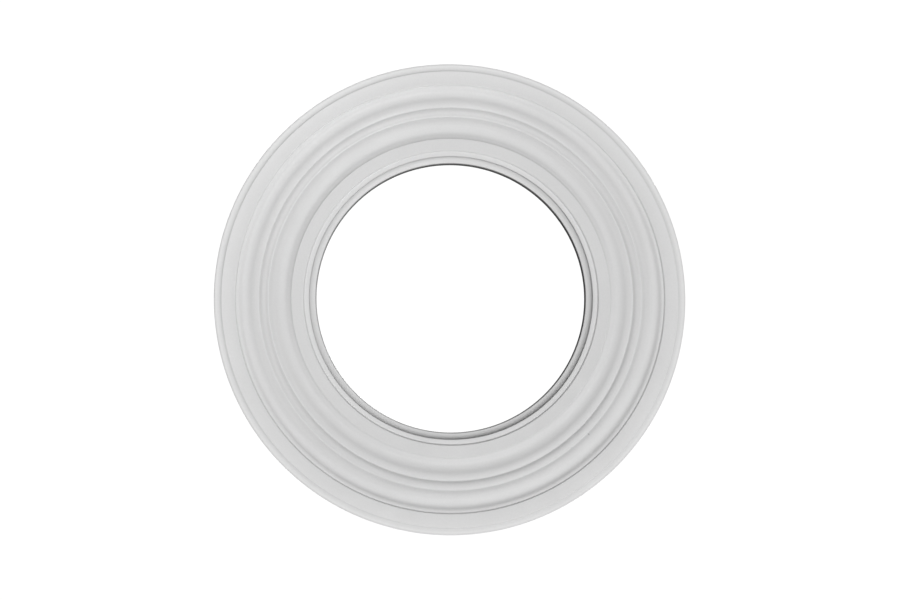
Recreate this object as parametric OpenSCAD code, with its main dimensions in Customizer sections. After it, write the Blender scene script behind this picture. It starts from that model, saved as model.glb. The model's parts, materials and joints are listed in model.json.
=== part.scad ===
// Ceiling rose: an open ring of mouldings, cast in one piece and primed white.
// Its flat back lies on the ceiling at z = 0 and its moulded face looks down, towards -Z.
// Radii run outwards from the axis. Projections are measured down from the ceiling.

/* [Opening] */
// Diameter of the open centre
opening_d = 350; // [200:1:420]
// Flat land round the edge of the opening
land_w = 0.3; // [0.3:0.1:3]
// Width of the cove that rises from the opening
cove_w = 8.2; // [6:0.1:14]
// Rise of the cove
cove_rise = 3.9; // [3:0.1:6]
// Step between the top of the cove and the fillet
cove_step = 3; // [0.3:0.1:5]
// Width from the cove to the edge of the band, the riser included
fillet_w = 7.7; // [5:0.1:15]
// Projection of the fillet outside the cove
fillet_z = 19.4; // [16:0.1:20.5]

/* [Inner band] */
// Width that the sloping riser of the band takes up
band_riser = 1.7; // [0.5:0.1:4]
// Width of the flat band
band_w = 15; // [6:0.1:40]
// Projection of the flat band
band_z = 21.7; // [21:0.1:26]
// Width of the quirk at the outer edge of the band
quirk_w = 1.7; // [0.5:0.1:3]
// Depth of that quirk
quirk_z = 1.5; // [0.5:0.1:2]

/* [Ogee] */
// From the edge of the band to the lowest line of the hollow
hollow_run = 10.9; // [9.1:0.1:16]
// Projection at the lowest line of the hollow
hollow_z = 16.9; // [15.5:0.1:17.8]
// Radius of the hollow where the ramp from the quirk runs into it
ramp_r = 11; // [6:0.1:16]
// From the hollow to the top of the crown
crown_run = 12.9; // [10.5:0.1:16]
// Share of the ogee that is hollow
hollow_share = 0.64; // [0.5:0.01:0.7]
// Projection of the crown
crown_z = 19.3; // [18.6:0.1:20]

/* [Beads] */
// From the crown to the middle of the inner bead
inner_bead_run = 12.5; // [10.4:0.1:14]
// Radius of the inner bead
inner_bead_r = 7.8; // [7:0.1:11]
// Projection of the inner bead
inner_bead_z = 20.8; // [20:0.1:21.5]
// From the inner bead to the middle of the outer bead
outer_bead_run = 11.1; // [9.2:0.1:13.5]
// Radius of the outer bead
outer_bead_r = 12; // [10:0.1:15]
// Projection of the outer bead
outer_bead_z = 20.3; // [19.5:0.1:21.3]

/* [Outer hollow] */
// From the outer bead to the lowest line of the outer hollow
sweep_run = 13; // [11.5:0.1:17]
// Projection at the lowest line of the outer hollow
sweep_z = 17.2; // [16.6:0.1:18.2]
// Radius of the hollow side of the rise to the ledge
rise_r = 8; // [6:0.1:10]
// From the outer hollow to the level ledge
ledge_run = 8.8; // [8:0.1:14]
// Width of the level ledge
ledge_w = 1.2; // [0.3:0.1:6]
// Projection of the ledge
ledge_z = 20.2; // [19.5:0.1:21]

/* [Fascia and rim] */
// Width that the sloping riser of the fascia takes up
fascia_riser = 1.6; // [0.5:0.1:4]
// Width of the flat fascia
fascia_w = 16.8; // [6:0.1:40]
// Projection of the fascia, the furthest of all
fascia_z = 22.2; // [21.8:0.1:28]
// Width of the hollow bevel from the fascia to the rim
bevel_w = 3.4; // [2:0.1:6]
// Projection where the bevel meets the rim
rim_z = 20.8; // [20.5:0.1:21.3]
// Width of the rim
rim_w = 6.6; // [4:0.1:20]
// Projection at the outer edge of the rim
edge_z = 20.4; // [12:0.1:20.8]

/* [Hidden] */
// Facets of a whole turn, and the largest step along an arc of the profile, in degrees
$fn = 180;
arc_step = 4;

// Radii where one member ends and the next begins, from the opening outwards
opening_r = opening_d / 2;
cove_in = opening_r + land_w;
cove_out = cove_in + cove_w;
band_in = cove_out + fillet_w;
band_out = band_in + band_w;
hollow_at = band_out + hollow_run;
crown_at = hollow_at + crown_run;
inner_bead_at = crown_at + inner_bead_run;
outer_bead_at = inner_bead_at + outer_bead_run;
sweep_at = outer_bead_at + sweep_run;
ledge_at = sweep_at + ledge_run;
ledge_out = ledge_at + ledge_w;
fascia_in = ledge_out + fascia_riser;
fascia_out = fascia_in + fascia_w;
rim_in = fascia_out + bevel_w;
outer_r = rim_in + rim_w;

// Radius of an arc that leaves a level line and has dropped by `drop` after `run`
function arc_r(run, drop) = (run * run + drop * drop) / (2 * drop);

// The direction of a vector, and the point on a circle in a direction
function angle_of(v) = atan2(v.y, v.x);
function on_circle(centre, r, angle) = centre + r * [cos(angle), sin(angle)];

// Points along the shorter arc from p towards q, without q itself
function arc(centre, p, q) =
    let (
        r = norm(p - centre),
        start = angle_of(p - centre),
        turn = (angle_of(q - centre) - start + 540) % 360 - 180,
        steps = ceil(abs(turn) / arc_step)
    )
    [for (i = [0 : steps - 1]) on_circle(centre, r, start + turn * i / steps)];

// Where two neighbouring round members cross, on the face side
function crossing(c1, r1, c2, r2) =
    let (
        gap = norm(c2 - c1),
        along = (gap * gap + r1 * r1 - r2 * r2) / (2 * gap)
    )
    on_circle(c1, r1, angle_of(c2 - c1) + acos(along / r1));

// The cove leaves the land level and is steepest at the step under the fillet
cove_top = fillet_z - cove_step;
wall_z = cove_top - cove_rise;
cove_start = [cove_in, wall_z];
cove_end = [cove_out, cove_top];
cove_centre = [cove_in, wall_z + arc_r(cove_w, cove_rise)];

// The ogee: its hollow and its crown are arcs that touch where the slope is steepest
ogee_r = arc_r(crown_run, crown_z - hollow_z);
hollow_r = hollow_share * ogee_r;
crown_r = ogee_r - hollow_r;
hollow_low = [hollow_at, hollow_z];
hollow_centre = [hollow_at, hollow_z + hollow_r];
crown_centre = [crown_at, crown_z - crown_r];
ogee_turn = hollow_centre + hollow_share * (crown_centre - hollow_centre);

// A straight ramp leaves the foot of the quirk and runs smoothly into the hollow
quirk_foot = [band_out + quirk_w, band_z - quirk_z];
ramp_centre = [hollow_at, hollow_z + ramp_r];
ramp_end = on_circle(ramp_centre, ramp_r,
    angle_of(quirk_foot - ramp_centre) + acos(ramp_r / norm(ramp_centre - quirk_foot)));

// The beads, and the sweep that carries the outer one on into the outer hollow
inner_bead_centre = [inner_bead_at, inner_bead_z - inner_bead_r];
outer_bead_centre = [outer_bead_at, outer_bead_z - outer_bead_r];
inner_quirk = crossing(crown_centre, crown_r, inner_bead_centre, inner_bead_r);
outer_quirk = crossing(inner_bead_centre, inner_bead_r, outer_bead_centre, outer_bead_r);
sweep_r = arc_r(sweep_run, outer_bead_z - sweep_z) - outer_bead_r;
sweep_low = [sweep_at, sweep_z];
sweep_centre = [sweep_at, sweep_z + sweep_r];
sweep_turn = on_circle(outer_bead_centre, outer_bead_r, angle_of(sweep_centre - outer_bead_centre));

// The rise to the ledge: a hollow and a round that touch where the slope is steepest
ledge_r = arc_r(ledge_run, ledge_z - sweep_z) - rise_r;
ledge_start = [ledge_at, ledge_z];
rise_centre = [sweep_at, sweep_z + rise_r];
ledge_centre = [ledge_at, ledge_z - ledge_r];
rise_turn = on_circle(rise_centre, rise_r, angle_of(ledge_centre - rise_centre));

// The hollow bevel runs smoothly into the slope of the rim
rim_start = [rim_in, rim_z];
rim_slope = atan2(rim_z - edge_z, rim_w);
bevel_fall = [bevel_w, fascia_z - rim_z];
bevel_r = norm(bevel_fall) / 2 / sin(angle_of(bevel_fall) - rim_slope);
bevel_centre = rim_start + bevel_r * [sin(rim_slope), cos(rim_slope)];

opening_group = concat(
    [[opening_r, 0], [opening_r, wall_z]],
    arc(cove_centre, cove_start, cove_end),
    [cove_end, [cove_out, fillet_z], [band_in - band_riser, fillet_z]],
    [[band_in, band_z], [band_out, band_z], quirk_foot]
);

ogee = concat(
    arc(ramp_centre, ramp_end, hollow_low),
    arc(hollow_centre, hollow_low, ogee_turn),
    arc(crown_centre, ogee_turn, inner_quirk)
);

beads = concat(
    arc(inner_bead_centre, inner_quirk, outer_quirk),
    arc(outer_bead_centre, outer_quirk, sweep_turn)
);

outer_hollow = concat(
    arc(sweep_centre, sweep_turn, sweep_low),
    arc(rise_centre, sweep_low, rise_turn),
    arc(ledge_centre, rise_turn, ledge_start)
);

outer_group = concat(
    [ledge_start, [ledge_out, ledge_z], [fascia_in, fascia_z]],
    arc(bevel_centre, [fascia_out, fascia_z], rim_start),
    [rim_start, [outer_r, edge_z], [outer_r, 0]]
);

// The whole ring is one casting: its profile turned round the axis, face down
module ceiling_rose() {
    color("white")
        mirror([0, 0, 1])
            rotate_extrude()
                polygon(concat(opening_group, ogee, beads, outer_hollow, outer_group));
}

ceiling_rose();
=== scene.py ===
import json
from math import acos, atan2, ceil, cos, pi, radians, sin, sqrt

import bmesh
import bpy
from mathutils import Matrix, Vector


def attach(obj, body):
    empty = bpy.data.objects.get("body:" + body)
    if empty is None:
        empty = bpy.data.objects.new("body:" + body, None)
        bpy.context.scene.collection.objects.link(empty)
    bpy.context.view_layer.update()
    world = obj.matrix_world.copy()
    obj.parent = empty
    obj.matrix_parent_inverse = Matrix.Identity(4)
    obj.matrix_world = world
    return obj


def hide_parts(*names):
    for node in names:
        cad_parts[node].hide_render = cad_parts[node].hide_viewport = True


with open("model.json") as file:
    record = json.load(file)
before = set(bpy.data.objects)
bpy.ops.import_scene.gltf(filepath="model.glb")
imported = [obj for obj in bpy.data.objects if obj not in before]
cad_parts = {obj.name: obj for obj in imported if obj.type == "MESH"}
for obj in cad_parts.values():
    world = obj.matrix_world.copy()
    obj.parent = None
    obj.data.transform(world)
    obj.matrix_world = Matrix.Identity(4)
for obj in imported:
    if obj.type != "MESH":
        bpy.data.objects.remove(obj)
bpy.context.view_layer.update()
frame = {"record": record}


# The ring of mouldings. One casting of rigid foam with a hard skin, the same all the way round, so
# its profile is drawn as a line and turned about the axis. The flat back is glued up at z = 0 and
# the moulded face looks down, so a member that projects further lies lower.

mounts = {mount["name"]: mount["dims"] for mount in frame["record"]["mounts"]}
opening_r = mounts["light_opening"]["r_mm"]

# Radii of the members in millimetres, from the opening outwards
cove_in = opening_r + 0.3
cove_w = 8.2
cove_out = cove_in + cove_w
band_in = cove_out + 7.7
band_out = band_in + 15
hollow_at = band_out + 10.9
crown_at = hollow_at + 12.9
inner_bead_at = crown_at + 12.5
outer_bead_at = inner_bead_at + 11.1
sweep_at = outer_bead_at + 13
ledge_at = sweep_at + 8.8
ledge_out = ledge_at + 1.2
fascia_in = ledge_out + 1.6
fascia_out = fascia_in + 16.8
rim_in = fascia_out + 3.4
outer_r = rim_in + 6.6

# Projections below the ceiling, and the radii of the arcs
cove_rise = 3.9
cove_step = 3.0
fillet_z = 19.4
band_z = 21.7
band_riser = 1.7
quirk_w = 1.7
quirk_z = 1.5
hollow_z = 16.9
ramp_r = 11.0
hollow_share = 0.64
crown_z = 19.3
inner_bead_z = 20.8
inner_bead_r = 7.8
outer_bead_z = 20.3
outer_bead_r = 12.0
sweep_z = 17.2
rise_r = 8.0
ledge_z = 20.2
fascia_z = 22.2
rim_z = 20.8
edge_z = 20.4

# The profile grows from the back of the opening wall. The line holds its points in order.
profile = bmesh.new()
line = [profile.verts.new((opening_r, 0, 0))]


def at(radius, projection):
    """The point of the profile at this radius and this far below the ceiling."""
    return Vector((radius, 0, -projection))


def straight_to(*points):
    """Carries the end of the line straight on through these points."""
    for point in points:
        grown = bmesh.ops.extrude_vert_indiv(profile, verts=[line[-1]])
        line.append(grown["verts"][0])
        line[-1].co = point


def arc_to(centre, end, step=4):
    """Turns the end of the line about a centre, as far as the direction of the point given."""
    a, b = line[-1].co - centre, end - centre
    turn = atan2(a.z * b.x - a.x * b.z, a.x * b.x + a.z * b.z)
    turned = bmesh.ops.spin(
        profile,
        geom=[line[-1]],
        cent=centre,
        axis=(0, 1, 0),
        angle=turn,
        steps=max(2, ceil(abs(turn) / radians(step))),
        use_merge=False,
        use_duplicate=False,
    )
    line.append(next(v for v in turned["geom_last"] if isinstance(v, bmesh.types.BMVert)))


def arc_radius(run, drop):
    """Radius of an arc that leaves a level line and has dropped this far after this run."""
    return (run * run + drop * drop) / (2 * drop)


def crossing(c1, r1, c2, r2):
    """Where two neighbouring round members cross, on the face side."""
    gap = c2 - c1
    along = (gap.length_squared + r1 * r1 - r2 * r2) / (2 * gap.length)
    bearing = atan2(-gap.z, gap.x) + acos(along / r1)
    return c1 + r1 * at(cos(bearing), sin(bearing))


# Opening wall, cove with a small step at its top, fillet, riser and flat band
wall_z = fillet_z - cove_step - cove_rise
cove_centre = at(cove_in, wall_z + arc_radius(cove_w, cove_rise))
straight_to(at(opening_r, wall_z), at(cove_in, wall_z))
arc_to(cove_centre, at(cove_out, fillet_z - cove_step))
straight_to(
    at(cove_out, fillet_z),
    at(band_in - band_riser, fillet_z),
    at(band_in, band_z),
    at(band_out, band_z),
)

# Quirk, and the straight ramp that runs smoothly into the hollow of the ogee
both_r = arc_radius(crown_at - hollow_at, crown_z - hollow_z)
hollow_r = hollow_share * both_r
crown_r = both_r - hollow_r
hollow_centre = at(hollow_at, hollow_z + hollow_r)
crown_centre = at(crown_at, crown_z - crown_r)
ramp_centre = at(hollow_at, hollow_z + ramp_r)
quirk_foot = at(band_out + quirk_w, band_z - quirk_z)
to_foot = quirk_foot - ramp_centre
bearing = atan2(-to_foot.z, to_foot.x) + acos(ramp_r / to_foot.length)
straight_to(quirk_foot, ramp_centre + ramp_r * at(cos(bearing), sin(bearing)))
arc_to(ramp_centre, at(hollow_at, hollow_z))

# Ogee and the two beads
inner_bead_centre = at(inner_bead_at, inner_bead_z - inner_bead_r)
outer_bead_centre = at(outer_bead_at, outer_bead_z - outer_bead_r)
arc_to(hollow_centre, crown_centre)
inner_quirk = crossing(crown_centre, crown_r, inner_bead_centre, inner_bead_r)
outer_quirk = crossing(inner_bead_centre, inner_bead_r, outer_bead_centre, outer_bead_r)
arc_to(crown_centre, inner_quirk)
arc_to(inner_bead_centre, outer_quirk)

# The sweep carries the outer bead on into the outer hollow, and a small ogee rises from that
sweep_r = arc_radius(sweep_at - outer_bead_at, outer_bead_z - sweep_z) - outer_bead_r
sweep_centre = at(sweep_at, sweep_z + sweep_r)
arc_to(outer_bead_centre, sweep_centre)
arc_to(sweep_centre, at(sweep_at, sweep_z))
ledge_r = arc_radius(ledge_at - sweep_at, ledge_z - sweep_z) - rise_r
ledge_centre = at(ledge_at, ledge_z - ledge_r)
rise_centre = at(sweep_at, sweep_z + rise_r)
arc_to(rise_centre, ledge_centre)
arc_to(ledge_centre, at(ledge_at, ledge_z))

# Ledge, riser, fascia, hollow bevel and rim, then back across the flat that meets the ceiling
straight_to(at(ledge_out, ledge_z), at(fascia_in, fascia_z), at(fascia_out, fascia_z))
rim_slope = atan2(rim_z - edge_z, outer_r - rim_in)
fall = at(rim_in, rim_z) - at(fascia_out, fascia_z)
fall_slope = atan2(fascia_z - rim_z, rim_in - fascia_out)
bevel_r = fall.length / 2 / sin(fall_slope - rim_slope)
bevel_centre = at(rim_in, rim_z) + bevel_r * at(sin(rim_slope), cos(rim_slope))
arc_to(bevel_centre, at(rim_in, rim_z))
straight_to(at(outer_r, edge_z), at(outer_r, 0))
profile.edges.new((line[-1], line[0]))


def corner_turn(v):
    """How sharply the line turns at a point, in radians."""
    a, b = [e.other_vert(v).co - v.co for e in v.link_edges]
    return pi - a.angle(b)


def near(v, *points, reach):
    return any((v.co - point).length < reach for point in points)


# The paint leaves every arris a little soft and fills the quirks more. The outer edge is rounder.
# Points of an arc that crowd a quirk would cramp its rounding, so they are taken out first.
arris_softness, quirk_softness, rim_softness = 0.5, 1.5, 1.2
corners = [v for v in profile.verts if corner_turn(v) > radians(12)]
quirks = [v for v in corners if near(v, quirk_foot, inner_quirk, outer_quirk, reach=0.1)]
rim_edge = [v for v in corners if near(v, at(outer_r, edge_z), reach=0.1)]
arrises = [v for v in corners if v not in quirks and v not in rim_edge]
crowded = [
    v
    for v in profile.verts
    if v not in corners and near(v, *[q.co for q in quirks], reach=quirk_softness + 0.1)
]
bmesh.ops.dissolve_verts(profile, verts=crowded)
for rounded, softness in (
    (arrises, arris_softness),
    (quirks, quirk_softness),
    (rim_edge, rim_softness),
):
    bmesh.ops.bevel(
        profile,
        geom=rounded,
        offset=softness,
        offset_type="OFFSET",
        affect="VERTICES",
        segments=4,
        profile=0.5,
        material=-1,
        clamp_overlap=True,
    )

# A point close to each end of a flat keeps its shading flat up to the softened arris
shortest_flat, margin = 1.2, 0.25
for edge in [e for e in profile.edges if e.calc_length() > shortest_flat]:
    length = edge.calc_length()
    one_end, other_end = edge.verts
    bmesh.utils.edge_split(edge, one_end, margin / length)
    rest = next(e for e in other_end.link_edges if e.calc_length() > 0.5 * length)
    bmesh.utils.edge_split(rest, other_end, margin / rest.calc_length())

# A full turn about the axis, closed on itself, then millimetres become metres
bmesh.ops.spin(
    profile,
    geom=profile.verts[:] + profile.edges[:],
    cent=(0, 0, 0),
    axis=(0, 0, 1),
    angle=2 * pi,
    steps=360,
    use_merge=True,
    use_duplicate=False,
)
bmesh.ops.remove_doubles(profile, verts=profile.verts[:], dist=0.001)
bmesh.ops.scale(profile, vec=(0.001, 0.001, 0.001), verts=profile.verts[:])
bmesh.ops.recalc_face_normals(profile, faces=profile.faces[:])
for face in profile.faces:
    face.smooth = True

ring_mesh = bpy.data.meshes.new("ceiling_rose_ring")
profile.to_mesh(ring_mesh)
profile.free()
ring = bpy.data.objects.new("ceiling_rose_ring", ring_mesh)
bpy.context.collection.objects.link(ring)

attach(ring, "root")
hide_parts("ceiling_rose")


# The coat over the moulded face: white primer sprayed on, faintly mottled and rippled. Its tone
# is set by radius and carries painted light and shade: a little darker over the beads in the
# middle, painted shade in the quirks and at the step above the cove, painted highlight and shade at
# the fascia's outer edge and painted light on the rim, and dark painted shade on the opening wall.


def node(tree, kind, inputs, **settings):
    """A node of this kind. An input is a number, a vector, another node or one of its outlets."""
    made = tree.nodes.new("ShaderNode" + kind)
    for name, value in settings.items():
        setattr(made, name, value)
    for name, value in inputs.items():
        if isinstance(value, bpy.types.Node):
            value = value.outputs[0]
        if isinstance(value, bpy.types.NodeSocket):
            tree.links.new(value, made.inputs[name])
        else:
            made.inputs[name].default_value = value
    return made


def between(tree, value, low, high, to_low, to_high):
    """Stretches the span from low to high over the span from to_low to to_high."""
    span = {"From Min": low, "From Max": high, "To Min": to_low, "To Max": to_high}
    return node(tree, "MapRange", {"Value": value, **span})


def mottle(tree, place, scale, low, high, detail=2.0):
    """Cloudy variation between two values."""
    clouds = node(tree, "TexNoise", {"Vector": place, "Scale": scale, "Detail": detail})
    return between(tree, clouds, 0.3, 0.7, low, high)


def times(tree, *factors):
    """The product of these factors."""
    product = factors[0]
    for factor in factors[1:]:
        product = node(tree, "Math", {0: product, 1: factor}, operation="MULTIPLY")
    return product


def by_radius(tree, place, stops):
    """A tone that depends on the radius alone, from pairs of a radius in millimetres and a tone."""
    across = node(tree, "VectorMath", {0: place, 1: (1, 1, 0)}, operation="MULTIPLY")
    reach = node(tree, "VectorMath", {0: across}, operation="LENGTH").outputs["Value"]
    first, last = stops[0][0], stops[-1][0]
    ramp = node(tree, "ValToRGB", {"Fac": between(tree, reach, first / 1000, last / 1000, 0, 1)})
    shades = ramp.color_ramp.elements
    while len(shades) < len(stops):
        shades.new(1.0)
    for shade, (radius, tone) in zip(shades, stops):
        shade.position = (radius - first) / (last - first)
        shade.color = (tone, tone, tone, 1)
    return ramp


def relief(tree, shader, *layers):
    """Sends layers of relief to a shader, each a pattern and its height in metres."""
    below = None
    for pattern, height in layers:
        sockets = {"Height": pattern, "Distance": height, "Strength": 1.0}
        if below:
            sockets["Normal"] = below
        below = node(tree, "Bump", sockets)
    tree.links.new(below.outputs[0], shader.inputs["Normal"])


def finish(name):
    """A new finish on the ring: its nodes, its shader and the place on the piece."""
    made = bpy.data.materials.new(name)
    made.use_nodes = True
    ring.data.materials.append(made)
    tree = made.node_tree
    return tree, tree.nodes["Principled BSDF"], node(tree, "TexCoord", {}).outputs["Object"]


coat, shader, place = finish("white_primer")
primer_white = 0.822

# Painted light and shade by radius, from the opening outwards, as a share of the primer's own white
# Bead tops a little darker, painted shade in the quirks and dark painted shade on the opening wall
proud, painted_quirk_shade, painted_wall_shade = 0.945, 0.92, 0.3
painted_light_and_shade = by_radius(
    coat,
    place,
    [
        # Dark painted shade on the opening wall
        (opening_r + 0.5, painted_wall_shade),
        (opening_r + 1.1, 0.95),
        # Painted shade at the step above the cove
        (cove_out - 1, 0.94),
        (cove_out - 0.3, 0.82),
        (cove_out + 0.5, 0.82),
        (cove_out + 1.1, 0.99),
        (band_out, 0.98),
        (band_out + 3, 1.04),
        (hollow_at - 1, 0.98),
        (hollow_at + 4, 0.955),
        (crown_at - 4, 0.92),
        (crown_at, 0.945),
        # Painted shade in the inner quirk
        (inner_quirk.x, 0.98),
        (inner_quirk.x + 2, painted_quirk_shade),
        (inner_quirk.x + 3.4, proud),
        (inner_bead_at + 1, 0.955),
        # Painted shade in the outer quirk
        (outer_quirk.x - 1, 1.01),
        (outer_quirk.x + 0.8, 0.97),
        (outer_quirk.x + 2.5, proud),
        (outer_bead_at + 1, 0.96),
        (outer_bead_at + 6, 1.02),
        (sweep_at - 3, 1.015),
        (sweep_at + 3, 0.975),
        (ledge_at - 1, 1.0),
        (ledge_out, 0.95),
        (fascia_in, 1.0),
        # Painted highlight on the fascia's outer edge, painted shade in the bevel beyond it,
        # painted light across the rim
        (fascia_out - 0.2, 1.08),
        (fascia_out + 0.6, 0.88),
        (rim_in, 1.03),
        (rim_in + 3.6, 1.15),
        (outer_r - 1.5, 1.05),
        (outer_r, 0.95),
    ],
)

# A nick in the outer bead, a little over two millimetres long, where the primer is knocked off
nick_r, nick_side = 0.25, radians(45)
nick_place = node(
    coat,
    "Mapping",
    {
        "Vector": place,
        "Location": (nick_r * cos(nick_side), nick_r * sin(nick_side), -0.02),
        "Rotation": (0, 0, nick_side),
        "Scale": (0.0016, 0.0008, 0.005),
    },
    vector_type="TEXTURE",
)
nick_reach = node(coat, "VectorMath", {0: nick_place}, operation="LENGTH").outputs["Value"]
nick = between(coat, nick_reach, 0.5, 1.2, 0.0, 1.0)

tone = times(
    coat,
    primer_white,
    painted_light_and_shade,
    mottle(coat, place, 7.0, 0.985, 1.015),
    mottle(coat, place, 420.0, 0.988, 1.012),
    between(coat, nick, 0.0, 1.0, 0.68, 1.0),
)
coat.links.new(tone.outputs[0], shader.inputs["Base Color"])
coat.links.new(mottle(coat, place, 28.0, 0.5, 0.66).outputs[0], shader.inputs["Roughness"])
specks = node(coat, "TexVoronoi", {"Vector": place, "Scale": 330.0})
relief(
    coat,
    shader,
    (node(coat, "TexNoise", {"Vector": place, "Scale": 40.0, "Detail": 1.0}), 0.0003),
    (node(coat, "TexNoise", {"Vector": place, "Scale": 520.0, "Detail": 3.0}), 0.00003),
    (times(coat, between(coat, specks, 0.05, 0.13, 0.0, 1.0), nick), 0.00005),
)

# The back: cream skin of the foam as it left the mould, with fine pores and the straight marks of
# a sanding block. Primer that drifted round the two edges fades out across it.
skin, shader, place = finish("foam_back")
cream = node(skin, "ValToRGB", {"Fac": mottle(skin, place, 11.0, 0.0, 1.0, 5.0)})
cream.color_ramp.elements[0].color = (0.60, 0.56, 0.47, 1)
cream.color_ramp.elements[1].color = (0.74, 0.70, 0.61, 1)
drift = by_radius(
    skin,
    place,
    [
        (opening_r, 1.0),
        (opening_r + 4, 0.7),
        (opening_r + 16, 0.0),
        (outer_r - 18, 0.0),
        (outer_r - 4, 0.7),
        (outer_r, 1.0),
    ],
)
ragged = times(skin, drift, mottle(skin, place, 60.0, 0.5, 1.4, 4.0))
sanded = node(
    skin,
    "Mapping",
    {"Vector": place, "Rotation": (0, 0, radians(31)), "Scale": (1.0, 0.03, 1.0)},
    vector_type="POINT",
)
strokes = node(skin, "TexNoise", {"Vector": sanded, "Scale": 420.0, "Detail": 3.0})
pores = node(skin, "TexVoronoi", {"Vector": place, "Scale": 420.0})
pore = between(skin, pores, 0.08, 0.24, 0.0, 1.0)
coated = node(skin, "Mix", {0: ragged, 6: cream, 7: (0.8, 0.8, 0.8, 1)}, data_type="RGBA")
worked = times(
    skin,
    between(skin, strokes, 0.3, 0.7, 0.96, 1.04),
    between(skin, pore, 0.0, 1.0, 0.78, 1.0),
    mottle(skin, place, 190.0, 0.97, 1.03),
)
shade = node(skin, "VectorMath", {0: coated.outputs[2], "Scale": worked}, operation="SCALE")
skin.links.new(shade.outputs[0], shader.inputs["Base Color"])
skin.links.new(between(skin, ragged, 0.0, 1.0, 0.82, 0.62).outputs[0], shader.inputs["Roughness"])
relief(
    skin,
    shader,
    (node(skin, "TexNoise", {"Vector": place, "Scale": 30.0, "Detail": 2.0}), 0.0005),
    (strokes, 0.00012),
    (pore, 0.00012),
)
for face in ring.data.polygons:
    if all(abs(ring.data.vertices[i].co.z) < 1e-6 for i in face.vertices):
        face.material_index = 1


# The studio. Pale floor far below. One broad light comes from beside the camera and a small soft
# lamp lifts the side away from it. One lamp above lights the back, and four low ones the edge.
floor_half_width, floor_drop = 60, 2.6
floor_mesh = bpy.data.meshes.new("studio_floor")
floor_shape = bmesh.new()
bmesh.ops.create_grid(floor_shape, x_segments=1, y_segments=1, size=floor_half_width)
bmesh.ops.translate(floor_shape, vec=(0, 0, -floor_drop), verts=floor_shape.verts[:])
floor_shape.to_mesh(floor_mesh)
floor_shape.free()
floor = bpy.data.objects.new("studio_floor", floor_mesh)
bpy.context.collection.objects.link(floor)
floor.visible_shadow = False
floor.visible_diffuse = False
pale = bpy.data.materials.new("pale_floor")
pale.use_nodes = True
paint = pale.node_tree.nodes["Principled BSDF"].inputs
paint["Base Color"].default_value = (0.8, 0.8, 0.8, 1)
paint["Roughness"].default_value = 0.9
paint["Emission Color"].default_value = (1, 1, 1, 1)
paint["Emission Strength"].default_value = 0.88
floor.data.materials.append(pale)


def soft_lamp(name, place, width, height, watts):
    """A lamp with a flat glowing front that faces the middle of the ring."""
    light = bpy.data.lights.new(name, "AREA")
    light.shape = "RECTANGLE"
    light.size = width
    light.size_y = height
    light.energy = watts
    lamp = bpy.data.objects.new(name, light)
    lamp.location = place
    lamp.rotation_euler = (-Vector(place)).to_track_quat("-Z", "Y").to_euler()
    lamp.visible_camera = False
    bpy.context.collection.objects.link(lamp)


key = bpy.data.lights.new("key_light", "SUN")
key.energy = 2.14
key.angle = radians(40)
key_lamp = bpy.data.objects.new("key_light", key)
side = radians(-62)
lean = radians(24)
from_key = Vector((sin(lean) * cos(side), -sin(lean) * sin(side), -cos(lean)))
key_lamp.rotation_euler = (-from_key).to_track_quat("-Z", "Y").to_euler()
bpy.context.collection.objects.link(key_lamp)
soft_lamp("fill_light", (-0.27, -0.36, -0.6), width=0.3, height=0.3, watts=0.55)
soft_lamp("back_light", (1.1, -0.9, 2.2), width=0.8, height=0.8, watts=62)

# Four long low lamps, level with the ring, light its outer edge
edge_lamp_reach, edge_lamp_drop = 2.5, 0.008
for number in range(4):
    turned = radians(20 + 90 * number)
    stands = (edge_lamp_reach * cos(turned), edge_lamp_reach * sin(turned), -edge_lamp_drop)
    soft_lamp(f"edge_light_{number}", stands, width=2.4, height=0.08, watts=7)

# The surround is white to the eye and gives almost no light of its own
world = bpy.data.worlds.new("white_surround")
world.use_nodes = True
bpy.context.scene.world = world
surround = world.node_tree
white = surround.nodes["Background"]
dim = surround.nodes.new("ShaderNodeBackground")
for sky, strength in ((white, 1.05), (dim, 0.02)):
    sky.inputs["Color"].default_value = (1, 1, 1, 1)
    sky.inputs["Strength"].default_value = strength
ray = surround.nodes.new("ShaderNodeLightPath")
either = surround.nodes.new("ShaderNodeMixShader")
surround.links.new(ray.outputs["Is Camera Ray"], either.inputs[0])
surround.links.new(dim.outputs[0], either.inputs[1])
surround.links.new(white.outputs[0], either.inputs[2])
surround.links.new(either.outputs[0], surround.nodes["World Output"].inputs["Surface"])
bpy.context.scene.view_settings.view_transform = "Standard"

# The camera stands below and looks up, about five degrees off the axis
camera_data = bpy.data.cameras.new("camera")
camera_data.lens = 52.8
camera_data.sensor_width = 36
camera = bpy.data.objects.new("camera", camera_data)
tilt = radians(5.07)
tilt_side = radians(53)
off_axis = Vector((-sin(tilt) * cos(tilt_side), sin(tilt) * sin(tilt_side), -cos(tilt)))
distance = 1.725
stand = distance * off_axis
look_at = Vector((-0.0013, 0.0026, 0))
camera.location = stand
forward = (look_at - stand).normalized()
right = forward.cross(Vector((0, -1, 0))).normalized()
up = right.cross(forward)
camera.rotation_euler = Matrix((right, up, -forward)).transposed().to_euler()
bpy.context.collection.objects.link(camera)
bpy.context.scene.camera = camera
